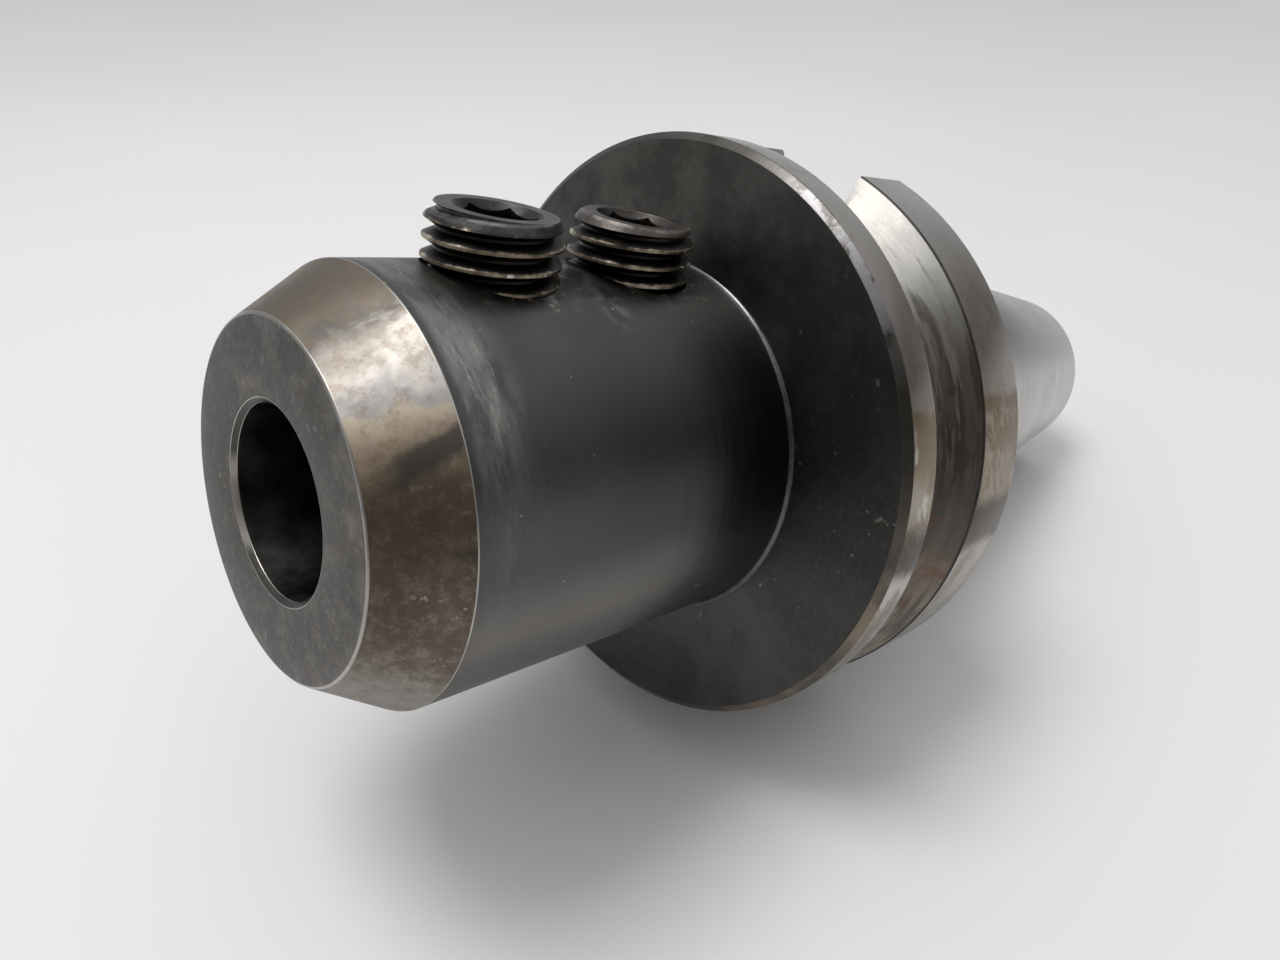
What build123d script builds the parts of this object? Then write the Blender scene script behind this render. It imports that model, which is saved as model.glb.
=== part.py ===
"""Side-lock end mill holder with a 50-size 7/24 taper shank and two clamp screws.

All lengths are in millimetres. The origin is on the axis at the gauge plane of the taper,
where the taper's diameter is 69.85. +X runs along the axis towards the small end of the
taper, so the nose points along -X. +Z runs up the axes of the two clamp screws.
"""

import os
from math import radians, tan

from build123d import *

# Taper shank
GAUGE_DIAMETER = 69.85
TAPER_PER_LENGTH = 7 / 24
TAPER_LENGTH = 101.8
TAPER_END_CHAMFER = 1.0
RELIEF_DEPTH = 0.6

# Flange
FLANGE_DIAMETER = 100.0
FLANGE_THICKNESS = 35.0
FLANGE_GAP = 3.0
FLANGE_FRONT_CHAMFER_RADIAL = 1.2
FLANGE_FRONT_CHAMFER_AXIAL = 0.9
FLANGE_REAR_CHAMFER = 0.8

# Gripper groove around the flange
GROOVE_CENTRE_FROM_GAUGE = 23.2
GROOVE_WIDTH_AT_RIM = 15.0
GROOVE_INCLUDED_ANGLE = 60.0
GROOVE_BOTTOM_DIAMETER = 85.0
GROOVE_EDGE_CHAMFER = 0.3

# Drive slots across the flange
SLOT_WIDTH = 25.7
SLOT_FLOOR_FROM_AXIS = 35.4
SLOT_CORNER_RADIUS = 1.0

# Nose
PROJECTION = 105.0
NOSE_DIAMETER = 60.0
NOSE_FACE_DIAMETER = 47.3
NOSE_CONE_LENGTH = 10.0
NOSE_EDGE_RADIUS = 0.4
NOSE_ROOT_FILLET = 0.7

# Tool bore
BORE_DIAMETER = 25.4
BORE_DEPTH = 80.0
BORE_MOUTH_CHAMFER = 0.7
COOLANT_HOLE_DIAMETER = 13.0

# Pull stud socket in the small end of the taper
PILOT_DIAMETER = 25.0
PILOT_DEPTH = 13.0
STUD_HOLE_DIAMETER = 21.0
STUD_HOLE_DEPTH = 62.0
PILOT_CHAMFER = 1.0
DRILL_POINT_ANGLE = 118.0

# Clamp screws and their holes
SCREW_PITCH = 2.54
SCREW_CREST_RADIUS = 9.35
SCREW_CREST_FLAT = 0.35
THREAD_FLANK_ANGLE = 30.0
RIDGE_OVERLAP = 0.2
SCREW_LENGTH = 20.0
SCREW_HOLE_CLEARANCE = 0.05
SCREW_TOP_CHAMFER_RADIAL = 1.2
SCREW_TOP_CHAMFER_AXIAL = 2.1
SCREW_POINT_CHAMFER = 1.6
HEX_ACROSS_FLATS = 9.6
HEX_DEPTH = 9.0
HEX_MOUTH_RADIUS = 6.0
HEX_TURN = 30.0
FRONT_SCREW_FROM_FACE = 28.5
SCREW_SPACING = 25.0
FRONT_SCREW_TOP = 37.5
REAR_SCREW_TOP = 37.3
FRONT_SCREW_TURN = 67.0
REAR_SCREW_TURN = 296.0

# Worked-out stations and radii
gauge_radius = GAUGE_DIAMETER / 2
small_end_radius = gauge_radius - TAPER_LENGTH * TAPER_PER_LENGTH / 2
flange_radius = FLANGE_DIAMETER / 2
flange_rear_x = -FLANGE_GAP
flange_front_x = flange_rear_x - FLANGE_THICKNESS
nose_radius = NOSE_DIAMETER / 2
nose_face_radius = NOSE_FACE_DIAMETER / 2
nose_face_x = -PROJECTION
nose_cone_back_x = nose_face_x + NOSE_CONE_LENGTH
relief_radius = gauge_radius - RELIEF_DEPTH
bore_radius = BORE_DIAMETER / 2
bore_end_x = nose_face_x + BORE_DEPTH
coolant_radius = COOLANT_HOLE_DIAMETER / 2
pilot_radius = PILOT_DIAMETER / 2
stud_hole_radius = STUD_HOLE_DIAMETER / 2
stud_hole_end_x = TAPER_LENGTH - STUD_HOLE_DEPTH
pilot_end_x = TAPER_LENGTH - PILOT_DEPTH
drill_point_slope = tan(radians(DRILL_POINT_ANGLE / 2))
groove_bottom_radius = GROOVE_BOTTOM_DIAMETER / 2
groove_half_width = GROOVE_WIDTH_AT_RIM / 2
groove_flank_slope = tan(radians(GROOVE_INCLUDED_ANGLE / 2))
groove_half_bottom = groove_half_width - (flange_radius - groove_bottom_radius) * groove_flank_slope
groove_front_x = -GROOVE_CENTRE_FROM_GAUGE - groove_half_width
groove_rear_x = -GROOVE_CENTRE_FROM_GAUGE + groove_half_width
screw_hole_radius = SCREW_CREST_RADIUS + SCREW_HOLE_CLEARANCE
front_screw_x = nose_face_x + FRONT_SCREW_FROM_FACE
rear_screw_x = front_screw_x + SCREW_SPACING
thread_depth = (SCREW_PITCH / 2 - SCREW_CREST_FLAT) / tan(radians(THREAD_FLANK_ANGLE))
screw_root_radius = SCREW_CREST_RADIUS - thread_depth
ridge_half_base = (SCREW_PITCH - SCREW_CREST_FLAT) / 2
thread_start_z = -SCREW_LENGTH - SCREW_PITCH
hex_mouth_depth = HEX_MOUTH_RADIUS - HEX_ACROSS_FLATS / 2
top_chamfer_slope = SCREW_TOP_CHAMFER_RADIAL / SCREW_TOP_CHAMFER_AXIAL


def corners_at(sketch, *points):
    """Corners of a sketch at the given (x, radius) points."""
    return sketch.vertices().filter_by(
        lambda corner: any(abs(corner.X - x) < 0.01 and abs(corner.Y - radius) < 0.01 for x, radius in points)
    )


# --- Holder body: taper shank, flange and nose turned from one piece of steel ---
with BuildPart() as holder_body:
    # Turned outside, with the gripper groove as a V with a flat bottom
    with BuildSketch(Plane.XY) as turned_outline:
        with BuildLine():
            Polyline(
                (nose_face_x, 0),
                (nose_face_x, nose_face_radius),
                (nose_cone_back_x, nose_radius),
                (flange_front_x, nose_radius),
                (flange_front_x, flange_radius - FLANGE_FRONT_CHAMFER_RADIAL),
                (flange_front_x + FLANGE_FRONT_CHAMFER_AXIAL, flange_radius),
                (groove_front_x, flange_radius),
                (-GROOVE_CENTRE_FROM_GAUGE - groove_half_bottom, groove_bottom_radius),
                (-GROOVE_CENTRE_FROM_GAUGE + groove_half_bottom, groove_bottom_radius),
                (groove_rear_x, flange_radius),
                (flange_rear_x - FLANGE_REAR_CHAMFER, flange_radius),
                (flange_rear_x, flange_radius - FLANGE_REAR_CHAMFER),
                (flange_rear_x, relief_radius),
                (0, relief_radius),
                (0, gauge_radius),
                (TAPER_LENGTH, small_end_radius),
                (TAPER_LENGTH, 0),
                close=True,
            )
        make_face()
        fillet(
            corners_at(turned_outline, (nose_face_x, nose_face_radius), (nose_cone_back_x, nose_radius)),
            radius=NOSE_EDGE_RADIUS,
        )
        fillet(corners_at(turned_outline, (flange_front_x, nose_radius)), radius=NOSE_ROOT_FILLET)
        chamfer(
            corners_at(turned_outline, (groove_front_x, flange_radius), (groove_rear_x, flange_radius)),
            length=GROOVE_EDGE_CHAMFER,
        )
        chamfer(corners_at(turned_outline, (TAPER_LENGTH, small_end_radius)), length=TAPER_END_CHAMFER)
    revolve(axis=Axis.X)

    # Tool bore, coolant hole and pull stud socket, bored along the axis
    with BuildSketch(Plane.XY):
        with BuildLine():
            Polyline(
                (nose_face_x, 0),
                (nose_face_x, bore_radius + BORE_MOUTH_CHAMFER),
                (nose_face_x + BORE_MOUTH_CHAMFER, bore_radius),
                (bore_end_x, bore_radius),
                (bore_end_x + (bore_radius - coolant_radius) / drill_point_slope, coolant_radius),
                (stud_hole_end_x - (stud_hole_radius - coolant_radius) / drill_point_slope, coolant_radius),
                (stud_hole_end_x, stud_hole_radius),
                (pilot_end_x, stud_hole_radius),
                (pilot_end_x, pilot_radius),
                (TAPER_LENGTH - PILOT_CHAMFER, pilot_radius),
                (TAPER_LENGTH, pilot_radius + PILOT_CHAMFER),
                (TAPER_LENGTH, 0),
                close=True,
            )
        make_face()
    revolve(axis=Axis.X, mode=Mode.SUBTRACT)

    # Two drive slots, in line with the clamp screws, from the rear face to the front rim
    with BuildSketch(Plane.YZ.offset(groove_front_x)):
        with PolarLocations(SLOT_FLOOR_FROM_AXIS + flange_radius / 2, 2, start_angle=90):
            RectangleRounded(flange_radius, SLOT_WIDTH, SLOT_CORNER_RADIUS)
    extrude(amount=-groove_front_x, mode=Mode.SUBTRACT)

    # Clamp screw holes through the top wall of the nose into the tool bore
    with BuildSketch(Plane.XY):
        with Locations((front_screw_x, 0), (rear_screw_x, 0)):
            Circle(screw_hole_radius)
    extrude(amount=nose_radius + 1, mode=Mode.SUBTRACT)

holder_body.part.label = "holder_body"


# --- Clamp screw pattern: top face at Z = 0, point downwards, axis on Z ---
with BuildPart() as clamp_screw:
    # Right-handed thread ridge, one pitch longer than the screw at each end
    with BuildLine():
        Helix(
            pitch=SCREW_PITCH,
            height=SCREW_LENGTH + 2 * SCREW_PITCH,
            radius=screw_root_radius,
            center=(0, 0, thread_start_z),
        )
    with BuildSketch(Plane.XZ):
        with Locations((0, thread_start_z)):
            with BuildLine():
                Polyline(
                    (screw_root_radius - RIDGE_OVERLAP, -ridge_half_base),
                    (screw_root_radius, -ridge_half_base),
                    (SCREW_CREST_RADIUS, -SCREW_CREST_FLAT / 2),
                    (SCREW_CREST_RADIUS, SCREW_CREST_FLAT / 2),
                    (screw_root_radius, ridge_half_base),
                    (screw_root_radius - RIDGE_OVERLAP, ridge_half_base),
                    close=True,
                )
            make_face()
    sweep(is_frenet=True)

    # Core of the thread
    with BuildSketch(Plane.XY.offset(thread_start_z)):
        Circle(screw_root_radius)
    extrude(amount=SCREW_LENGTH + 2 * SCREW_PITCH)

    # Both ends cut off square and chamfered
    with BuildSketch(Plane.XZ):
        with BuildLine():
            Polyline(
                (0, -SCREW_LENGTH),
                (SCREW_CREST_RADIUS - SCREW_POINT_CHAMFER, -SCREW_LENGTH),
                (SCREW_CREST_RADIUS + 1, -SCREW_LENGTH + SCREW_POINT_CHAMFER + 1),
                (SCREW_CREST_RADIUS + 1, -SCREW_TOP_CHAMFER_AXIAL - 1 / top_chamfer_slope),
                (SCREW_CREST_RADIUS - SCREW_TOP_CHAMFER_RADIAL, 0),
                (0, 0),
                close=True,
            )
        make_face()
    revolve(axis=Axis.Z, mode=Mode.INTERSECT)

    # Hexagon socket with a conical mouth
    with BuildSketch(Plane.XY):
        RegularPolygon(radius=HEX_ACROSS_FLATS / 2, side_count=6, major_radius=False, rotation=HEX_TURN)
    extrude(amount=-HEX_DEPTH, mode=Mode.SUBTRACT)
    with BuildSketch(Plane.XZ):
        with BuildLine():
            Polyline(
                (0, 0),
                (HEX_MOUTH_RADIUS, 0),
                (HEX_ACROSS_FLATS / 2, -hex_mouth_depth),
                (0, -hex_mouth_depth),
                close=True,
            )
        make_face()
    revolve(axis=Axis.Z, mode=Mode.SUBTRACT)


# --- Front clamp screw, nearest the nose face ---
with BuildPart() as front_clamp_screw:
    add(clamp_screw.part.moved(Location((front_screw_x, 0, FRONT_SCREW_TOP), (0, 0, FRONT_SCREW_TURN))))

front_clamp_screw.part.label = "front_clamp_screw"


# --- Rear clamp screw, nearest the flange ---
with BuildPart() as rear_clamp_screw:
    add(clamp_screw.part.moved(Location((rear_screw_x, 0, REAR_SCREW_TOP), (0, 0, REAR_SCREW_TURN))))

rear_clamp_screw.part.label = "rear_clamp_screw"


os.makedirs("parts", exist_ok=True)
export_step(holder_body.part, "parts/holder_body.step")
export_step(front_clamp_screw.part, "parts/front_clamp_screw.step")
export_step(rear_clamp_screw.part, "parts/rear_clamp_screw.step")
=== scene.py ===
import math

import bmesh
import bpy
from mathutils import Matrix, Vector


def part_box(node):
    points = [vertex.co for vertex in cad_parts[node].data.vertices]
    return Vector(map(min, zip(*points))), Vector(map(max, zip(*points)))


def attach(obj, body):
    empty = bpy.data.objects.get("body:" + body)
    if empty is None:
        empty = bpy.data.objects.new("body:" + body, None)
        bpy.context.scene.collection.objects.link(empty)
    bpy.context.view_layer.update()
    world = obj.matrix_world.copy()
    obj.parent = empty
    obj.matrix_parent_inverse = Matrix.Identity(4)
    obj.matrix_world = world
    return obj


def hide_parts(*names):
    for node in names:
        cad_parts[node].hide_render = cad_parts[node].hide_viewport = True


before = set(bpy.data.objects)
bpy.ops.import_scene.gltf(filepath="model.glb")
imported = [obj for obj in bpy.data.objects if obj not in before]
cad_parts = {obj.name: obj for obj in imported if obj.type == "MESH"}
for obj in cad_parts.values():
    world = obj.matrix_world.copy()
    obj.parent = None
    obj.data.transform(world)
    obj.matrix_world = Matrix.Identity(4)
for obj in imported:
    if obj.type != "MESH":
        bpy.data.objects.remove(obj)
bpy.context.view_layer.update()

MM = 0.001
SEGMENTS = 288  # faces around each turned ring


# ---------------------------------------------------------------- places taken from the frame
holder_low, holder_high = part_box("holder_body")
front_low, front_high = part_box("front_clamp_screw")
rear_low, rear_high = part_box("rear_clamp_screw")
nose_x = holder_low.x
small_end_x = holder_high.x
flange_r = holder_high.y
screw_r = (front_high.y - front_low.y) / 2
front_screw_x = (front_low.x + front_high.x) / 2
rear_screw_x = (rear_low.x + rear_high.x) / 2


# ---------------------------------------------------------------- sizes that several functions share
gauge_x = nose_x + 105 * MM
gauge_r = 34.925 * MM
flange_rear_x = gauge_x - 3 * MM
rear_chamfer = 0.8 * MM
end_chamfer = 1.0 * MM
slot_half_width = 12.85 * MM


def taper_radius(x):
    """The radius of the 7/24 taper at a place behind the gauge plane."""
    return gauge_r - (x - gauge_x) * 7 / 48


# ---------------------------------------------------------------- node helpers
def make(tree, kind, values=None, **settings):
    """One node, its settings, and its inputs as numbers or as sockets to link."""
    node = tree.nodes.new(kind)
    for key, value in settings.items():
        setattr(node, key, value)
    for key, value in (values or {}).items():
        socket = node.inputs[key]
        if isinstance(value, bpy.types.NodeSocket):
            tree.links.new(value, socket)
        else:
            socket.default_value = value
    return node


def span(tree, value, low, high, to_low=0.0, to_high=1.0, smooth=True):
    """The value's way from low to high, turned into a way from to_low to to_high."""
    return make(
        tree, "ShaderNodeMapRange",
        {"Value": value, "From Min": low, "From Max": high, "To Min": to_low, "To Max": to_high},
        interpolation_type="SMOOTHSTEP" if smooth else "LINEAR",
    ).outputs["Result"]


def ramp(tree, value, stops):
    """A colour ramp, as (position, colour) pairs."""
    node = make(tree, "ShaderNodeValToRGB", {"Fac": value})
    elements = node.color_ramp.elements
    while len(elements) < len(stops):
        elements.new(0.5)
    for element, (position, colour) in zip(elements, stops):
        element.position = position
        element.color = (*colour, 1.0)
    return node.outputs["Color"]


def blend_colour(tree, factor, a, b):
    """Colour a where the factor is 0 and colour b where it is 1."""
    node = make(tree, "ShaderNodeMix", data_type="RGBA")
    for socket, value in ((node.inputs[0], factor), (node.inputs[6], a), (node.inputs[7], b)):
        if isinstance(value, bpy.types.NodeSocket):
            tree.links.new(value, socket)
        elif isinstance(value, tuple):
            socket.default_value = (*value, 1.0)
        else:
            socket.default_value = value
    return node.outputs[2]


class Finish:
    """A metal material on a Principled shader, with the object's own coordinates at hand."""

    def __init__(self, name, anisotropic=0.0):
        self.material = bpy.data.materials.new(name)
        self.material.use_nodes = True
        self.tree = self.material.node_tree
        self.shader = self.tree.nodes["Principled BSDF"]
        self.shader.inputs["Metallic"].default_value = 1.0
        self.shader.inputs["Anisotropic"].default_value = anisotropic
        self.place = make(self.tree, "ShaderNodeTexCoord").outputs["Object"]
        self.x, self.y, self.z = make(self.tree, "ShaderNodeSeparateXYZ", {"Vector": self.place}).outputs
        self.angle = self.math("ARCTAN2", self.times(self.y, -1.0), self.z)
        if anisotropic:
            tangent = make(self.tree, "ShaderNodeTangent", direction_type="RADIAL", axis="X")
            self.tree.links.new(tangent.outputs["Tangent"], self.shader.inputs["Tangent"])

    def math(self, operation, a, b=0.0):
        return make(self.tree, "ShaderNodeMath", {0: a, 1: b}, operation=operation).outputs[0]

    def plus(self, a, b):
        return self.math("ADD", a, b)

    def times(self, a, b):
        return self.math("MULTIPLY", a, b)

    def span(self, value, low, high, to_low=0.0, to_high=1.0):
        return span(self.tree, value, low, high, to_low, to_high)

    def noise(self, scale, detail=4.0, roughness=0.5):
        """Noise with one scale for all directions, or one for each, in features per metre."""
        vector = self.place
        if isinstance(scale, tuple):
            stretched = {"Vector": vector, "Scale": scale}
            vector = make(self.tree, "ShaderNodeMapping", stretched).outputs["Vector"]
            scale = 1.0
        return make(
            self.tree, "ShaderNodeTexNoise",
            {"Vector": vector, "Scale": scale, "Detail": detail, "Roughness": roughness},
        ).outputs["Fac"]

    def patches(self, noise, low, high, to_low=0.0, to_high=1.0):
        """Patches of noise, which is (scale, detail, roughness), as a way from to_low to to_high."""
        return self.span(self.noise(*noise), low, high, to_low, to_high)

    def turning_lines(self, scale):
        """Fine rings around the axis, as a lathe or a grinder leaves them."""
        return self.noise((scale, 18.0, 18.0), 3.0, 0.6)

    def ramp(self, value, stops):
        return ramp(self.tree, value, stops)

    def around(self, stops, wander=0.0, scale=90.0):
        """Colours around the axis, as (degrees, colour) pairs. 0 is on top and 90 is on the near side."""
        stray = self.plus(self.noise(scale, 4.0, 0.6), -0.5)
        widened = 4  # noise strays about a quarter either side of its middle
        turn = self.plus(self.angle, self.times(stray, math.radians(wander) * widened))
        share = span(self.tree, turn, -math.pi, math.pi, smooth=False)
        return ramp(self.tree, share, [((degrees + 180) / 360, colour) for degrees, colour in stops])

    def sector(self, start, full, end_full, end):
        """A mask that is 1 between two angles around the axis and fades out beyond them."""
        rise = self.span(self.angle, math.radians(start), math.radians(full))
        fall = self.span(self.angle, math.radians(end), math.radians(end_full))
        return self.times(rise, fall)

    def behind_nose(self, start, full):
        """A mask that goes from 0 to 1 between two distances from the nose face, in millimetres."""
        return self.span(self.x, nose_x + start * MM, nose_x + full * MM)

    def length(self, a, b):
        """The length of the hypotenuse over a and b."""
        return self.math("SQRT", self.plus(self.times(a, a), self.times(b, b)))

    def from_screw(self, axis_x):
        """The distance from a clamp screw's axis."""
        return self.length(self.plus(self.x, -axis_x), self.y)

    def stain(self, base, colour, mask, *more_masks):
        """The base, turned to another colour as far as the product of the masks says."""
        for more in more_masks:
            mask = self.times(mask, more)
        return blend_colour(self.tree, mask, base, colour)

    def finish(self, colour, roughness, height, depth):
        """Links the colour, roughness and bump, with the bump's depth in metres."""
        bump = make(self.tree, "ShaderNodeBump", {"Height": height, "Distance": depth})
        self.tree.links.new(colour, self.shader.inputs["Base Color"])
        self.tree.links.new(roughness, self.shader.inputs["Roughness"])
        self.tree.links.new(bump.outputs["Normal"], self.shader.inputs["Normal"])
        return self.material


# ---------------------------------------------------------------- finishes of the holder
def near_screw_holes(steel, near, far):
    """A mask that is 1 at each screw hole's edge and fades out away from it, on the nose's upper side."""
    front, rear = (steel.span(steel.from_screw(x), far, near) for x in (front_screw_x, rear_screw_x))
    return steel.times(steel.math("MAXIMUM", front, rear), steel.span(steel.z, 0.0, 10 * MM))


def oxide_finish():
    """Black oxide with faint turning lines, a painted dark reflection and shade toward the flange, a
    painted pale floor reflection low down, scuffs behind the cone, and grime, painted shade and dust at the
    screws.
    """
    steel = Finish("black_oxide", anisotropic=0.35)
    cloud = steel.noise(60.0, 5.0, 0.6)
    grain = steel.noise(1400.0, 3.0, 0.6)
    lines = steel.turning_lines(2200.0)
    base = steel.ramp(cloud, [(0.3, (0.080, 0.079, 0.077)), (0.7, (0.110, 0.108, 0.105))])
    # painted dark reflection and shade on the near side, darkening toward the flange
    dark_reflection_and_shade = steel.times(steel.sector(30, 56, 80, 98), steel.behind_nose(16, 40))
    base = steel.stain(base, (0.058, 0.057, 0.056), dark_reflection_and_shade, 0.62)
    # painted paler floor reflection low on the near side
    base = steel.stain(base, (0.175, 0.165, 0.153), steel.sector(84, 106, 150, 175))

    band = steel.times(steel.behind_nose(21, 13.5), steel.behind_nose(10.4, 12))
    mostly_near_side = steel.plus(steel.times(steel.sector(-30, 2, 46, 76), 0.88), 0.12)
    behind_cone = steel.times(band, mostly_near_side)
    rubbed = steel.patches(((260.0, 80.0, 80.0), 6.0, 0.70), 0.34, 0.60, 0.05, 0.90)
    base = steel.stain(base, (0.260, 0.250, 0.237), behind_cone, rubbed)
    scratches = steel.patches(((900.0, 150.0, 150.0), 7.0, 0.78), 0.50, 0.68)
    base = steel.stain(base, (0.40, 0.383, 0.357), behind_cone, scratches, 0.75)

    # dark ring at each screw's base: grime, and painted shade where screw meets nose
    grime_and_shade = steel.patches((260.0, 4.0, 0.6), 0.34, 0.56)
    base = steel.stain(base, (0.028, 0.026, 0.024), near_screw_holes(steel, 9.6 * MM, 12.6 * MM), grime_and_shade)
    dust = steel.patches((480.0, 3.0, 0.6), 0.60, 0.68)
    base = steel.stain(base, (0.30, 0.25, 0.20), near_screw_holes(steel, 10.5 * MM, 14.5 * MM), dust, 0.7)
    off_middle = steel.math("ABSOLUTE", steel.plus(steel.x, -(front_screw_x + rear_screw_x) / 2))
    between_screws = steel.times(steel.span(off_middle, 3.4 * MM, 0.6 * MM), steel.sector(-12, 2, 16, 34))
    smudge = steel.patches((420.0, 4.0, 0.6), 0.40, 0.62)
    base = steel.stain(base, (0.34, 0.335, 0.33), between_screws, smudge, 0.7)
    base = steel.stain(base, (0.34, 0.31, 0.27), steel.patches((520.0, 2.0, 0.5), 0.735, 0.78))
    mixed = steel.plus(steel.times(lines, 0.5), steel.times(cloud, 0.5))
    height = steel.plus(lines, steel.times(grain, 0.6))
    return steel.finish(base, steel.span(mixed, 0.3, 0.7, 0.30, 0.40), height, 0.010 * MM)


def flange_face_finish():
    """Black oxide face with painted reflections and shade around it, darkest on the near side, with fine
    light dust there.
    """
    steel = Finish("flange_face_oxide")
    cloud = steel.noise(70.0, 7.0, 0.7)
    grain = steel.noise(1100.0, 3.0, 0.6)
    # painted reflections and shade around the face: lighter on top, darkest on the near side
    base = steel.around(
        [
            (-180, (0.070, 0.070, 0.068)),
            (-10, (0.145, 0.144, 0.132)),
            (40, (0.098, 0.097, 0.091)),
            (62, (0.060, 0.060, 0.055)),
            (92, (0.046, 0.046, 0.043)),
            (118, (0.085, 0.083, 0.080)),
            (180, (0.070, 0.070, 0.068)),
        ],
        wander=10.0, scale=40.0,
    )
    base = steel.stain(base, (0.030, 0.030, 0.027), steel.span(cloud, 0.38, 0.60, 0.45, 0.0))
    base = steel.stain(base, (0.11, 0.108, 0.102), steel.span(grain, 0.45, 0.75, 0.0, 0.25))
    few = steel.patches((430.0, 2.0, 0.5), 0.705, 0.765)
    many = steel.times(steel.sector(46, 66, 82, 104), steel.patches((700.0, 2.0, 0.5), 0.700, 0.760))
    base = steel.stain(base, (0.22, 0.215, 0.185), steel.math("MAXIMUM", few, many), 0.7)
    return steel.finish(base, steel.span(cloud, 0.3, 0.7, 0.34, 0.42), grain, 0.012 * MM)


def fillet_finish():
    """The small fillet between nose and flange, with a thin painted highlight line on its upper near side.
    """
    steel = Finish("root_fillet")
    cloud = steel.noise(420.0, 5.0, 0.7)
    base = steel.ramp(cloud, [(0.3, (0.08, 0.078, 0.075)), (0.7, (0.15, 0.146, 0.142))])
    rubbed = steel.span(cloud, 0.35, 0.60, 0.3, 0.9)
    # painted highlight: a thin bright line on the upper near side
    base = steel.stain(base, (0.19, 0.184, 0.182), steel.sector(8, 26, 42, 68), rubbed)
    return steel.finish(base, steel.span(cloud, 0.3, 0.7, 0.24, 0.34), steel.noise(900.0), 0.010 * MM)


def nose_face_finish():
    """Mottled grey end face, blotched, nicked by handling and rubbed paler towards its outer edge."""
    steel = Finish("nose_face_steel")
    cloud = steel.noise(190.0, 7.0, 0.72)
    blotch = steel.noise(60.0, 5.0, 0.65)
    fine = steel.noise(950.0, 4.0, 0.6)
    base = steel.ramp(
        cloud,
        [
            (0.34, (0.052, 0.047, 0.042)),
            (0.47, (0.090, 0.083, 0.075)),
            (0.58, (0.150, 0.140, 0.129)),
            (0.70, (0.25, 0.235, 0.215)),
        ],
    )
    base = steel.stain(base, (0.068, 0.060, 0.052), steel.span(blotch, 0.45, 0.62, 0.0, 0.55))
    base = steel.stain(base, (0.25, 0.24, 0.225), steel.span(fine, 0.52, 0.74, 0.0, 0.45))
    nicks = steel.patches(((260.0, 520.0, 330.0), 3.0, 0.6), 0.68, 0.74)
    base = steel.stain(base, (0.38, 0.37, 0.35), nicks, 0.5)
    edge = steel.span(steel.length(steel.y, steel.z), 20 * MM, 23.3 * MM)
    base = steel.stain(base, (0.20, 0.19, 0.18), edge, steel.span(cloud, 0.4, 0.6, 0.1, 0.5))
    height = steel.plus(fine, steel.times(cloud, 1.5))
    return steel.finish(base, steel.span(cloud, 0.3, 0.7, 0.38, 0.56), height, 0.022 * MM)


def cone_finish():
    """Bare turned cone with painted reflections around it: a painted bright highlight high on the near side
    and painted brown reflections below, with brown stains.
    """
    steel = Finish("nose_cone_steel", anisotropic=0.3)
    cloud = steel.noise(110.0, 6.0, 0.65)
    # painted reflections around the cone: dull top, a bright highlight band from 24 to 44 degrees, darker
    # brown below
    base = steel.around(
        [
            (-180, (0.26, 0.24, 0.22)),
            (-100, (0.16, 0.14, 0.12)),
            (-50, (0.34, 0.31, 0.28)),
            (-14, (0.15, 0.128, 0.104)),
            (4, (0.125, 0.107, 0.087)),
            (13, (0.15, 0.130, 0.108)),
            (18, (0.10, 0.094, 0.087)),
            (24, (0.25, 0.226, 0.200)),
            (34, (0.37, 0.341, 0.310)),
            (40, (0.25, 0.247, 0.247)),
            (44, (0.38, 0.325, 0.258)),
            (52, (0.30, 0.249, 0.190)),
            (58, (0.22, 0.178, 0.132)),
            (64, (0.14, 0.108, 0.078)),
            (72, (0.115, 0.092, 0.070)),
            (84, (0.155, 0.126, 0.100)),
            (98, (0.18, 0.147, 0.118)),
            (120, (0.32, 0.290, 0.260)),
            (145, (0.27, 0.25, 0.23)),
            (180, (0.26, 0.24, 0.22)),
        ],
        wander=9.0, scale=85.0,
    )
    base = steel.stain(base, (0.15, 0.108, 0.070), steel.patches((420.0, 8.0, 0.80), 0.46, 0.62, 0.0, 0.45))
    low = steel.sector(48, 64, 108, 135)
    dark = steel.patches((380.0, 8.0, 0.80), 0.46, 0.60, 0.55, 0.0)
    base = steel.stain(base, (0.075, 0.058, 0.042), low, dark)
    pale = steel.patches((520.0, 8.0, 0.80), 0.52, 0.66, 0.0, 0.55)
    base = steel.stain(base, (0.26, 0.22, 0.175), low, pale)

    tilt = math.radians(8) / (7.5 * MM)
    tilted = steel.plus(steel.angle, steel.times(steel.plus(steel.x, -nose_x - 2.5 * MM), tilt))
    ragged = steel.plus(tilted, steel.times(cloud, 0.2))
    across = steel.math("ABSOLUTE", steel.plus(ragged, -math.radians(60) - 0.1))
    smear = steel.times(steel.span(across, math.radians(5), math.radians(2)), steel.behind_nose(1.2, 4.5))
    base = steel.stain(base, (0.055, 0.052, 0.047), smear, 0.85)

    # brighter patches within the painted highlight band: partly rubbed wear, partly painted highlight
    rubs_and_highlight = steel.patches(((110.0, 420.0, 420.0), 5.0, 0.65), 0.52, 0.68, 0.0, 0.35)
    base = steel.stain(base, (0.48, 0.455, 0.42), steel.sector(10, 24, 38, 50), rubs_and_highlight)
    line = steel.times(steel.sector(76.5, 77.5, 78.5, 80), steel.behind_nose(1.5, 4))
    base = steel.stain(base, (0.07, 0.06, 0.05), line, steel.span(cloud, 0.40, 0.55))
    low_back_edge = steel.times(steel.sector(76, 88, 104, 116), steel.behind_nose(3, 6))
    pits = steel.patches((640.0, 2.0, 0.5), 0.655, 0.70)
    base = steel.stain(base, (0.36, 0.33, 0.29), low_back_edge, pits, 0.85)
    height = steel.plus(steel.turning_lines(1800.0), steel.times(cloud, 0.25))
    return steel.finish(base, steel.span(cloud, 0.3, 0.7, 0.44, 0.58), height, 0.012 * MM)


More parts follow.
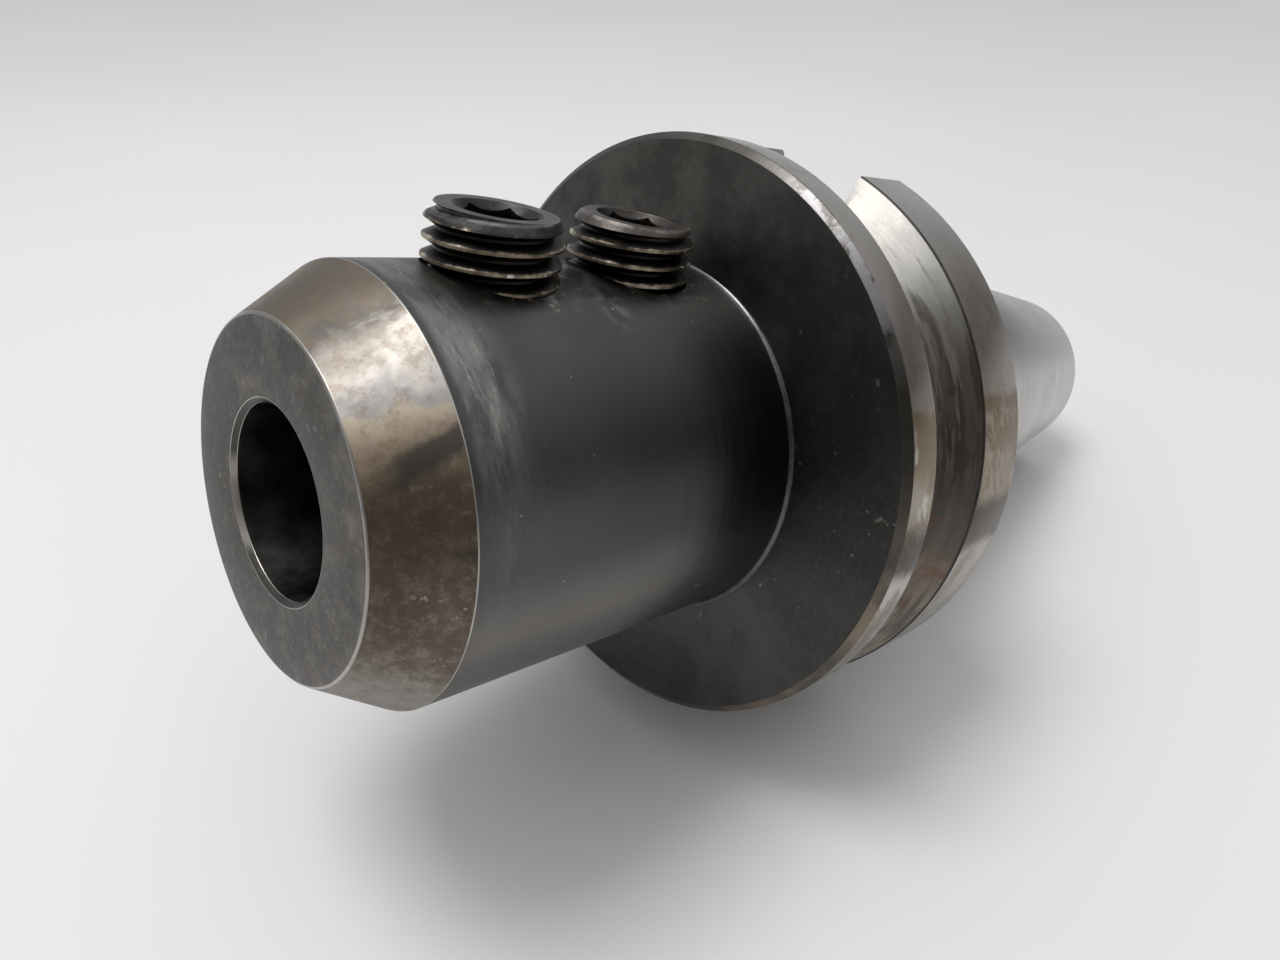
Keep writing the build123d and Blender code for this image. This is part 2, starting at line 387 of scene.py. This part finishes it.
def rim_finish():
    """Ground rims of the flange with painted reflections: warm grey on top, painted tan and brown
    reflections low on the near side.
    """
    steel = Finish("rim_steel", anisotropic=0.4)
    cloud = steel.noise(240.0, 5.0, 0.6)
    grey = (0.42, 0.385, 0.35)
    # painted reflections around the rims: grey on top, a sharp darker step near 64 degrees, tan and brown
    # bands below
    base = steel.around(
        [
            (-180, (0.50, 0.49, 0.47)),
            (-120, grey),
            (-60, (0.34, 0.29, 0.24)),
            (-20, grey),
            (20, (0.46, 0.43, 0.395)),
            (56, (0.35, 0.320, 0.295)),
            (63, (0.33, 0.300, 0.270)),
            (65, (0.18, 0.132, 0.080)),
            (72, (0.23, 0.182, 0.125)),
            (78, (0.34, 0.305, 0.255)),
            (82, (0.28, 0.240, 0.190)),
            (85, (0.14, 0.105, 0.072)),
            (91, (0.16, 0.122, 0.085)),
            (93, (0.33, 0.310, 0.280)),
            (104, (0.30, 0.275, 0.240)),
            (125, (0.27, 0.245, 0.210)),
            (180, (0.40, 0.39, 0.37)),
        ],
        wander=3.0, scale=90.0,
    )
    base = steel.stain(base, (0.21, 0.185, 0.16), steel.span(cloud, 0.55, 0.75, 0.0, 0.35))
    streaks = steel.patches(((240.0, 75.0, 75.0), 5.0, 0.65), 0.50, 0.58, 0.0, 0.75)
    base = steel.stain(base, (0.20, 0.150, 0.100), steel.sector(58, 66, 150, 175), streaks)

    rear = steel.behind_nose(80, 82)
    front = steel.span(rear, 0.0, 1.0, 1.0, 0.0)
    # painted pale floor reflection on the front rim's lower near side
    front_rim_floor_reflection = steel.patches(((190.0, 90.0, 90.0), 4.0, 0.6), 0.52, 0.58, 0.0, 0.8)
    base = steel.stain(base, (0.50, 0.475, 0.44), steel.sector(62, 72, 150, 175), front_rim_floor_reflection, front)
    # painted tan reflection low on the rear rim's near side
    tan = steel.patches((300.0, 6.0, 0.7), 0.34, 0.60, 0.9, 0.45)
    base = steel.stain(base, (0.125, 0.092, 0.048), steel.sector(62.5, 64.5, 83, 86), tan, rear)
    mottle = steel.patches(((330.0, 200.0, 200.0), 6.0, 0.7), 0.46, 0.60, 0.0, 0.7)
    base = steel.stain(base, (0.33, 0.285, 0.225), steel.sector(64, 67, 80, 86), mottle, rear)
    # painted dark brown reflection low on the near side of both rims
    brown = steel.patches(((180.0, 120.0, 120.0), 5.0, 0.65), 0.36, 0.52, 0.55, 0.95)
    low_rear = steel.times(steel.sector(81, 85, 90, 93), rear)
    low_front = steel.times(steel.sector(81, 85, 90, 94), front)
    base = steel.stain(base, (0.030, 0.020, 0.012), steel.plus(low_rear, low_front), brown)
    lines = steel.turning_lines(3000.0)
    return steel.finish(base, steel.span(cloud, 0.3, 0.7, 0.20, 0.30), lines, 0.008 * MM)


def worn_chamfer_finish():
    """The flange's front chamfer: oxide worn through in bright patches, which are partly wear and partly a
    painted highlight high on the near side.
    """
    steel = Finish("worn_chamfer")
    patch = steel.noise(190.0, 5.0, 0.65)
    # worn patches kept mostly high on the near side: partly wear, partly painted highlight
    mostly_high = steel.plus(steel.times(steel.sector(14, 24, 46, 56), 0.92), 0.08)
    worn = steel.times(steel.span(patch, 0.42, 0.52), mostly_high)
    base = steel.stain((0.080, 0.075, 0.068), (0.20, 0.192, 0.194), worn)
    # painted brown reflection low on the near side
    brown = steel.patches((90.0,), 0.42, 0.60, 0.0, 0.8)
    base = steel.stain(base, (0.23, 0.185, 0.14), steel.sector(70, 95, 150, 175), brown)
    return steel.finish(base, steel.span(patch, 0.3, 0.7, 0.30, 0.42), steel.noise(900.0), 0.012 * MM)


def groove_finish():
    """Groove flanks: a painted bright reflection on top, brushed, with long streaks of grime further round.
    """
    steel = Finish("groove_steel", anisotropic=0.4)
    streak = steel.noise((1500.0, 60.0, 60.0), 5.0, 0.65)
    broad = steel.noise((750.0, 42.0, 42.0), 4.0, 0.6)
    # painted reflections around the groove: bright on top, dim further round
    base = steel.around(
        [
            (-180, (0.30, 0.27, 0.24)),
            (-90, (0.14, 0.125, 0.11)),
            (-40, (0.44, 0.42, 0.40)),
            (0, (0.15, 0.145, 0.135)),
            (24, (0.17, 0.165, 0.152)),
            (33, (0.30, 0.29, 0.275)),
            (40, (0.36, 0.35, 0.335)),
            (48, (0.27, 0.26, 0.245)),
            (60, (0.175, 0.165, 0.152)),
            (84, (0.110, 0.096, 0.087)),
            (98, (0.130, 0.108, 0.088)),
            (108, (0.22, 0.190, 0.160)),
            (140, (0.30, 0.27, 0.235)),
            (180, (0.30, 0.27, 0.24)),
        ],
        wander=7.0, scale=110.0,
    )
    dirty = steel.span(broad, 0.48, 0.58, 0.0, 0.75)
    base = steel.stain(base, (0.085, 0.078, 0.070), steel.sector(24, 36, 180, 200), dirty)
    # painted highlight streaks, bright, high on the near side
    rubbed = steel.span(streak, 0.50, 0.62, 0.0, 0.70)
    base = steel.stain(base, (0.46, 0.45, 0.43), steel.sector(24, 38, 66, 84), rubbed)
    brushed = steel.span(streak, 0.46, 0.62, 0.0, 0.55)
    base = steel.stain(base, (0.11, 0.103, 0.094), steel.sector(-8, 4, 28, 38), brushed)
    rust = steel.patches((180.0, 4.0, 0.6), 0.56, 0.66, 0.0, 0.6)
    base = steel.stain(base, (0.13, 0.075, 0.055), steel.sector(48, 60, 110, 130), rust)
    return steel.finish(base, steel.span(streak, 0.3, 0.7, 0.34, 0.24), streak, 0.009 * MM)


def taper_finish():
    """Ground taper with fine and coarse grinding lines, a painted darker reflection on top, and smeared
    here and there.
    """
    steel = Finish("ground_taper", anisotropic=0.55)
    lines = steel.turning_lines(3600.0)
    coarse = steel.turning_lines(650.0)
    cloud = steel.noise(55.0, 5.0, 0.6)
    base = steel.ramp(cloud, [(0.30, (0.42, 0.415, 0.405)), (0.70, (0.54, 0.535, 0.525))])
    # painted darker reflection on top
    base = steel.stain(base, (0.175, 0.177, 0.173), steel.sector(-40, 0, 50, 68), 0.80)
    base = steel.stain(base, (0.34, 0.33, 0.315), steel.span(lines, 0.35, 0.70, 0.35, 0.0))
    base = steel.stain(base, (0.26, 0.25, 0.235), steel.span(coarse, 0.34, 0.60, 0.38, 0.0))
    smear = steel.patches(((60.0, 200.0, 200.0), 4.0, 0.6), 0.55, 0.70, 0.0, 0.35)
    base = steel.stain(base, (0.30, 0.29, 0.275), smear)
    end = steel.span(steel.x, small_end_x - 2.0 * MM, small_end_x - 1.0 * MM)
    base = steel.stain(base, (0.17, 0.165, 0.16), end)
    return steel.finish(base, steel.span(cloud, 0.3, 0.7, 0.24, 0.33), lines, 0.008 * MM)


def machined_finish(name, low, high, rough_low, rough_high):
    """Plain machined steel with soft blotches and turning lines."""
    steel = Finish(name)
    cloud = steel.noise(160.0, 5.0, 0.6)
    base = steel.ramp(cloud, [(0.3, low), (0.7, high)])
    roughness = steel.span(cloud, 0.3, 0.7, rough_low, rough_high)
    return steel.finish(base, roughness, steel.turning_lines(1500.0), 0.010 * MM)


def mouth_finish():
    """The bore's mouth chamfer: dulled, with a painted highlight on its lower far side."""
    steel = Finish("bore_mouth_steel")
    cloud = steel.noise(200.0, 4.0, 0.6)
    base = steel.ramp(cloud, [(0.3, (0.05, 0.047, 0.043)), (0.7, (0.095, 0.090, 0.083))])
    # painted highlight on the lower far side
    base = steel.stain(base, (0.42, 0.40, 0.38), steel.sector(-150, -135, -100, -80))
    roughness = steel.span(cloud, 0.3, 0.7, 0.30, 0.42)
    return steel.finish(base, roughness, steel.turning_lines(1500.0), 0.010 * MM)


FINISHES = {
    "face": nose_face_finish(),
    "cone": cone_finish(),
    "oxide": oxide_finish(),
    "fillet": fillet_finish(),
    "flange_face": flange_face_finish(),
    "chamfer": worn_chamfer_finish(),
    "rim": rim_finish(),
    "rear_face": machined_finish(
        "flange_rear_steel", (0.30, 0.285, 0.265), (0.42, 0.40, 0.375), 0.28, 0.42
    ),
    "groove": groove_finish(),
    # the groove's rounded rear edge, made dark
    "dark_edge": machined_finish(
        "groove_rear_edge_dark", (0.035, 0.033, 0.033), (0.075, 0.070, 0.068), 0.34, 0.46
    ),
    "taper": taper_finish(),
    "mouth": mouth_finish(),
    "bore": machined_finish("bore_steel", (0.05, 0.047, 0.044), (0.11, 0.104, 0.096), 0.30, 0.45),
    "edge": machined_finish("polished_edge", (0.30, 0.28, 0.255), (0.48, 0.46, 0.43), 0.24, 0.36),
    "slot": machined_finish("slot_steel", (0.22, 0.21, 0.20), (0.40, 0.39, 0.38), 0.30, 0.45),
    "stud_hole": machined_finish("stud_hole_steel", (0.10, 0.095, 0.09), (0.22, 0.21, 0.20), 0.30, 0.45),
}
FINISH_INDEX = {name: index for index, name in enumerate(FINISHES)}


# ---------------------------------------------------------------- the holder as a turned mesh
def arc(centre_x, centre_y, radius, start, end, steps):
    """Points of an arc in a flat outline, with its angles in radians."""
    points = []
    for i in range(steps + 1):
        turn = start + (end - start) * i / steps
        points.append((centre_x + radius * math.cos(turn), centre_y + radius * math.sin(turn)))
    return points


def rounded(before, corner, after, radius, steps):
    """Points that round the corner between two straight runs."""
    corner = Vector(corner)
    back = (Vector(before) - corner).normalized()
    ahead = (Vector(after) - corner).normalized()
    half = math.acos(max(-1.0, min(1.0, back.dot(ahead)))) / 2
    centre = corner + (back + ahead).normalized() * (radius / math.sin(half))
    start = corner + back * (radius / math.tan(half)) - centre
    end = corner + ahead * (radius / math.tan(half)) - centre
    start_turn = math.atan2(start.y, start.x)
    end_turn = math.atan2(end.y, end.x)
    while end_turn - start_turn > math.pi:
        end_turn -= 2 * math.pi
    while end_turn - start_turn < -math.pi:
        end_turn += 2 * math.pi
    return arc(centre.x, centre.y, radius, start_turn, end_turn, steps)


def turned_profile():
    """(x, radius, finish of the run that starts here) around the whole section."""
    flange_front = gauge_x - 38 * MM
    groove_x = gauge_x - 23.2 * MM
    half_rim = 7.5 * MM
    half_floor = half_rim - 7.5 * MM * math.tan(math.radians(30))
    floor_r = 42.5 * MM
    nose_r = 30 * MM
    face_r = 23.65 * MM
    bore_r = 12.7 * MM
    mouth = 0.7 * MM
    collar_r = gauge_r - 0.6 * MM
    bore_end_x = nose_x + 80.0 * MM
    bore_point_x = nose_x + 83.7 * MM
    taper_end_x = small_end_x - end_chamfer
    pilot_r = 12.5 * MM
    pilot_chamfer = 1.0 * MM
    pilot_end_x = small_end_x - 13.0 * MM
    thread_r = 10.5 * MM
    stud_hole_end_x = small_end_x - 62.0 * MM
    stud_hole_point_x = small_end_x - 64.4 * MM
    coolant_r = 6.5 * MM
    corners = [
        # x, radius, finish of the next run, rounding
        (nose_x, bore_r + mouth, "face", 0.15 * MM),
        (nose_x, face_r, "cone", 0.45 * MM),
        (nose_x + 10 * MM, nose_r, "oxide", 0.35 * MM),
        (flange_front, nose_r, "flange_face", 0.7 * MM),
        (flange_front, flange_r - 1.2 * MM, "chamfer", 0.2 * MM),
        (flange_front + 0.9 * MM, flange_r, "rim", 0.2 * MM),
        (groove_x - half_rim, flange_r, "groove", 0.35 * MM),
        (groove_x - half_floor, floor_r, "groove", 0.3 * MM),
        (groove_x + half_floor, floor_r, "groove", 0.3 * MM),
        (groove_x + half_rim, flange_r, "rim", 0.5 * MM),
        (flange_rear_x - rear_chamfer, flange_r, "rim", 0.2 * MM),
        (flange_rear_x, flange_r - rear_chamfer, "rear_face", 0.2 * MM),
        (flange_rear_x, collar_r, "taper", 0.2 * MM),
        (gauge_x, collar_r, "taper", 0.05 * MM),
        (gauge_x, gauge_r, "taper", 0.1 * MM),
        (taper_end_x, taper_radius(taper_end_x), "edge", 0.1 * MM),
        (small_end_x, taper_radius(small_end_x) - end_chamfer, "slot", 0.1 * MM),
        (small_end_x, pilot_r + pilot_chamfer, "stud_hole", 0.1 * MM),
        (small_end_x - pilot_chamfer, pilot_r, "stud_hole", 0.1 * MM),
        (pilot_end_x, pilot_r, "stud_hole", 0.1 * MM),
        (pilot_end_x, thread_r, "stud_hole", 0.1 * MM),
        (stud_hole_end_x, thread_r, "stud_hole", 0.1 * MM),
        (stud_hole_point_x, coolant_r, "stud_hole", 0.1 * MM),
        (bore_point_x, coolant_r, "bore", 0.1 * MM),
        (bore_end_x, bore_r, "bore", 0.1 * MM),
        (nose_x + mouth, bore_r, "mouth", 0.15 * MM),
    ]
    points = []
    for i, (x, ring_r, finish, rounding) in enumerate(corners):
        before = corners[i - 1]
        after = corners[(i + 1) % len(corners)]
        curve = rounded(before[:2], (x, ring_r), after[:2], rounding, 6 if rounding > 0.3 * MM else 3)
        corner_finish = finish_of_corner(before[2], finish)
        points += [(*point, corner_finish) for point in curve[:-1]]
        points.append((*curve[-1], finish))
    return points


def finish_of_corner(before, after):
    """The finish of a rounded corner: the runs' own where they match, and worn bright at free edges."""
    if before == after:
        return before
    if after == "flange_face":
        return "fillet"
    if before == "groove":
        return "dark_edge"
    if "chamfer" in (before, after):
        return "chamfer"
    if "groove" in (before, after) or "taper" in (before, after):
        return "rim"
    return "edge"


def turned_mesh():
    """The whole section turned around the axis, as one closed mesh."""
    points = turned_profile()
    mesh_build = bmesh.new()
    rings = []
    for x, ring_r, _ in points:
        ring = []
        for k in range(SEGMENTS):
            turn = 2 * math.pi * (k + 0.5) / SEGMENTS
            ring.append(mesh_build.verts.new((x, ring_r * math.sin(turn), ring_r * math.cos(turn))))
        rings.append(ring)
    for i, (_, _, finish) in enumerate(points):
        ring, after = rings[i], rings[(i + 1) % len(rings)]
        for k in range(SEGMENTS):
            beside = (k + 1) % SEGMENTS
            face = mesh_build.faces.new((ring[k], after[k], after[beside], ring[beside]))
            face.material_index = FINISH_INDEX[finish]
    bmesh.ops.recalc_face_normals(mesh_build, faces=mesh_build.faces)
    mesh = bpy.data.meshes.new("holder")
    mesh_build.to_mesh(mesh)
    mesh_build.free()
    return mesh


def cutter_object(name, mesh_build, finish):
    """A cutter that leaves the faces it cuts with one of the finishes."""
    mesh = bpy.data.meshes.new(name)
    bmesh.ops.recalc_face_normals(mesh_build, faces=mesh_build.faces)
    for face in mesh_build.faces:
        face.material_index = FINISH_INDEX[finish]
    mesh_build.to_mesh(mesh)
    mesh_build.free()
    for material in FINISHES.values():
        mesh.materials.append(material)
    cutter = bpy.data.objects.new(name, mesh)
    bpy.context.scene.collection.objects.link(cutter)
    return cutter


def slot_cutter(side):
    """A drive slot: a block with small rounded corners along its floor."""
    floor = 35.4 * MM
    corner = 1.0 * MM
    above_rim = 60 * MM
    groove_front_x = gauge_x - 30.7 * MM
    gauge_face_x = gauge_x - 0.0005 * MM  # a hair short, so that no faces share a plane
    right_angle = math.pi / 2
    outline = [(slot_half_width, above_rim)]
    outline += arc(slot_half_width - corner, floor + corner, corner, 0, -right_angle, 6)
    outline += arc(-slot_half_width + corner, floor + corner, corner, -right_angle, -2 * right_angle, 6)
    outline += [(-slot_half_width, above_rim)]
    build = bmesh.new()
    loops = []
    for x in (groove_front_x, gauge_face_x):
        loops.append([build.verts.new((x, side * y, side * z)) for y, z in outline])
    count = len(outline)
    for i in range(count):
        j = (i + 1) % count
        build.faces.new((loops[0][i], loops[0][j], loops[1][j], loops[1][i]))
    build.faces.new(loops[0])
    build.faces.new(list(reversed(loops[1])))
    return cutter_object("slot_cutter", build, "slot")


def hole_cutter(x):
    """A clamp screw's plain hole, from inside the bore out through the top of the nose."""
    clearance = 0.05 * MM
    radius = screw_r + clearance
    build = bmesh.new()
    bmesh.ops.create_cone(
        build, cap_ends=True, segments=128, radius1=radius, radius2=radius, depth=40 * MM,
        matrix=Matrix.Translation((x, 0, 22 * MM)),
    )
    return cutter_object("hole_cutter", build, "bore")


def build_holder():
    """The turned mesh, less two drive slots and two screw holes."""
    holder = bpy.data.objects.new("holder_turned", turned_mesh())
    bpy.context.scene.collection.objects.link(holder)
    for material in FINISHES.values():
        holder.data.materials.append(material)
    cutters = [slot_cutter(1), slot_cutter(-1), hole_cutter(front_screw_x), hole_cutter(rear_screw_x)]
    for cutter in cutters:
        cut = holder.modifiers.new("cut", "BOOLEAN")
        cut.operation = "DIFFERENCE"
        cut.solver = "EXACT"
        cut.object = cutter
    graph = bpy.context.evaluated_depsgraph_get()
    result = bpy.data.meshes.new_from_object(holder.evaluated_get(graph))
    holder.modifiers.clear()
    holder.data = result
    for cutter in cutters:
        bpy.data.objects.remove(cutter)
    mark_sharp(result, 24)
    return holder


def mark_sharp(mesh, degrees):
    """Smooth faces, with hard edges where two faces meet at more than the angle."""
    build = bmesh.new()
    build.from_mesh(mesh)
    limit = math.radians(degrees)
    for face in build.faces:
        face.smooth = True
    for edge in build.edges:
        if len(edge.link_faces) == 2:
            edge.smooth = edge.calc_face_angle(0.0) < limit
    build.to_mesh(mesh)
    build.free()


holder = build_holder()
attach(holder, "holder")
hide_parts("holder_body")


# ---------------------------------------------------------------- clamp screws
def screw_finish(name, axis_x, top_z, top_tint):
    """Oily black screw, rubbed grey on top with a painted highlight along its lip, whose thread crests are
    worn to dull brassy metal.
    """
    steel = Finish(name)
    reach = steel.from_screw(axis_x)
    cloud = steel.noise(300.0, 5.0, 0.65)
    fine = steel.noise(1500.0, 4.0, 0.6)
    base = steel.ramp(cloud, [(0.3, (0.010, 0.009, 0.009)), (0.7, (0.030, 0.028, 0.026))])
    flank = steel.span(reach, screw_r - 0.90 * MM, screw_r - 0.40 * MM, 0.0, 0.6)
    base = steel.stain(base, (0.045, 0.041, 0.037), flank)
    stray = steel.times(steel.plus(cloud, -0.5), 1.3 * MM)
    crest = steel.span(steel.plus(reach, stray), screw_r - 0.34 * MM, screw_r - 0.02 * MM)
    metal = steel.ramp(
        cloud,
        [(0.34, (0.13, 0.105, 0.075)), (0.52, (0.26, 0.215, 0.155)), (0.68, (0.58, 0.51, 0.41))],
    )
    base = steel.stain(base, metal, crest)
    outer = steel.span(reach, screw_r - 0.5 * MM, screw_r)
    base = steel.stain(base, (0.66, 0.65, 0.62), outer, steel.patches((420.0, 2.0, 0.5), 0.66, 0.70))

    top = steel.span(steel.z, top_z - 1.75 * MM, top_z - 1.05 * MM)
    dim, pale, lip_highlight_tint = (tuple(c * k for c in top_tint) for k in (0.72, 1.35, 3.2))
    rubbed = steel.ramp(steel.noise(520.0, 5.0, 0.7), [(0.34, dim), (0.66, pale)])
    clear_of_socket = steel.times(
        steel.span(reach, 4.85 * MM, 5.1 * MM), steel.span(reach, 5.8 * MM, 6.1 * MM, 0.35, 1.0)
    )
    base = steel.stain(base, rubbed, top, clear_of_socket)
    # painted highlight along the top's lip
    off_lip = steel.math("ABSOLUTE", steel.plus(reach, -8.15 * MM))
    lip = steel.span(off_lip, 0.35 * MM, 0.05 * MM)
    base = steel.stain(base, lip_highlight_tint, lip, top, steel.span(cloud, 0.40, 0.60, 0.1, 0.8))
    height = steel.plus(cloud, steel.times(fine, 0.4))
    return steel.finish(base, steel.span(cloud, 0.3, 0.7, 0.34, 0.48), height, 0.06 * MM)


SCREWS = (
    ("front_clamp_screw", front_low, front_high, (0.070, 0.070, 0.069)),
    ("rear_clamp_screw", rear_low, rear_high, (0.105, 0.092, 0.084)),
)
for node_name, low, high, top_tint in SCREWS:
    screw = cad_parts[node_name]
    screw.data.materials.clear()
    screw.data.materials.append(screw_finish(node_name + "_steel", (low.x + high.x) / 2, high.z, top_tint))


# ---------------------------------------------------------------- floor
def floor_finish():
    """Pale matt floor with very soft clouds."""
    material = bpy.data.materials.new("floor_paper")
    material.use_nodes = True
    tree = material.node_tree
    shader = tree.nodes["Principled BSDF"]
    place = make(tree, "ShaderNodeTexCoord").outputs["Object"]
    cloud = make(tree, "ShaderNodeTexNoise", {"Vector": place, "Scale": 3.0, "Detail": 3.0}).outputs["Fac"]
    tone = ramp(tree, cloud, [(0.3, (0.74, 0.735, 0.735)), (0.7, (0.78, 0.775, 0.775))])
    tree.links.new(tone, shader.inputs["Base Color"])
    shader.inputs["Roughness"].default_value = 0.65
    return material


def resting_floor():
    """A plane under the lower drive slot's rear corners and the small end of the taper."""
    slot_corner = math.sqrt(flange_r ** 2 - slot_half_width ** 2)
    end_x = small_end_x - end_chamfer
    rear_rim = Vector((flange_rear_x - rear_chamfer, 0, -slot_corner))
    taper_end = Vector((end_x, 0, -taper_radius(end_x)))
    along = (taper_end - rear_rim).normalized()
    normal = Vector((-along.z, 0, along.x))
    half_size = 4.0
    gap = 0.02 * MM
    corners = []
    for side_x, side_y in ((-1, -1), (1, -1), (1, 1), (-1, 1)):
        corners.append(along * (half_size * side_x) + Vector((0, half_size * side_y, 0)))
    mesh = bpy.data.meshes.new("floor")
    mesh.from_pydata([tuple(corner) for corner in corners], [], [(0, 1, 2, 3)])
    floor = bpy.data.objects.new("floor", mesh)
    floor.location = rear_rim - normal * gap
    bpy.context.scene.collection.objects.link(floor)
    mesh.materials.append(floor_finish())
    return floor, normal


floor, up = resting_floor()


# ---------------------------------------------------------------- light
def softbox(name, place, target, size, power):
    """A square or oblong lamp that faces its target."""
    data = bpy.data.lights.new(name, "AREA")
    data.shape = "RECTANGLE"
    data.size, data.size_y = size
    data.energy = power
    light = bpy.data.objects.new(name, data)
    light.location = place
    light.rotation_euler = (target - place).to_track_quat("-Z", "Y").to_euler()
    bpy.context.scene.collection.objects.link(light)


# directions along the floor: away from the near side, and left of that
away = Vector((0.65, 0.74, 0.0))
away = (away - up * away.dot(up)).normalized()
left = up.cross(away).normalized()
nose_root = Vector((nose_x + 60 * MM, 0, 0))
softbox("key", nose_root + up * 0.87 + left * 0.23, nose_root, (0.36, 0.36), 4.0)


def room_light():
    """Soft room: bright ceiling, pale wall behind, dim to the right and towards the near side."""
    world = bpy.data.worlds.new("room")
    bpy.context.scene.world = world
    world.use_nodes = True
    tree = world.node_tree
    background = tree.nodes["Background"]
    direction = make(tree, "ShaderNodeTexCoord").outputs["Generated"]

    def toward(vector):
        return make(
            tree, "ShaderNodeVectorMath", {0: direction, 1: tuple(vector)}, operation="DOT_PRODUCT"
        ).outputs["Value"]

    def both(a, b):
        return make(tree, "ShaderNodeMath", {0: a, 1: b}, operation="MULTIPLY").outputs[0]

    tone = ramp(
        tree, span(tree, toward(up), -1.0, 1.0, smooth=False),
        [
            (0.50, (0.18, 0.176, 0.172)),
            (0.66, (0.34, 0.34, 0.34)),
            (0.80, (0.74, 0.75, 0.76)),
            (0.97, (1.05, 1.06, 1.08)),
        ],
    )
    wall = both(span(tree, toward(away), 0.15, 0.70), span(tree, toward(up), 0.55, 0.25))
    tone = blend_colour(tree, wall, tone, (0.50, 0.52, 0.54))
    right = both(span(tree, toward(-left), 0.50, 0.88), span(tree, toward(up), 0.36, 0.16))
    tone = blend_colour(tree, right, tone, (0.17, 0.16, 0.15))
    near_side = (up * 0.50 - away * 0.866).normalized()
    tone = blend_colour(tree, span(tree, toward(near_side), 0.72, 0.92), tone, (0.16, 0.15, 0.14))
    camera_ray = make(tree, "ShaderNodeLightPath").outputs["Is Camera Ray"]
    seen = blend_colour(tree, camera_ray, tone, (0.57, 0.60, 0.62))
    tree.links.new(seen, background.inputs["Color"])
    background.inputs["Strength"].default_value = 1.0


room_light()
bpy.context.scene.view_settings.view_transform = "Standard"


# ---------------------------------------------------------------- camera
def camera():
    """Close wide-angle view of the nose from its near side, above and ahead of it."""
    data = bpy.data.cameras.new("camera")
    data.sensor_width = 36.0
    data.lens = 25.45
    data.clip_start = 0.005
    view = bpy.data.objects.new("camera", data)
    right = Vector((0.7124, -0.6751, 0.1916))
    above = Vector((0.1630, 0.4247, 0.8905))
    # the two directions, and the one that they give, made exactly square
    back = right.cross(above).normalized()
    above = back.cross(right).normalized()
    right = above.cross(back).normalized()
    turn = Matrix((right, above, back)).transposed().to_4x4()
    place = Vector((nose_x - 43.94 * MM, -97.77 * MM, 58.06 * MM))
    view.matrix_world = Matrix.Translation(place) @ turn
    bpy.context.scene.collection.objects.link(view)
    bpy.context.scene.camera = view


camera()
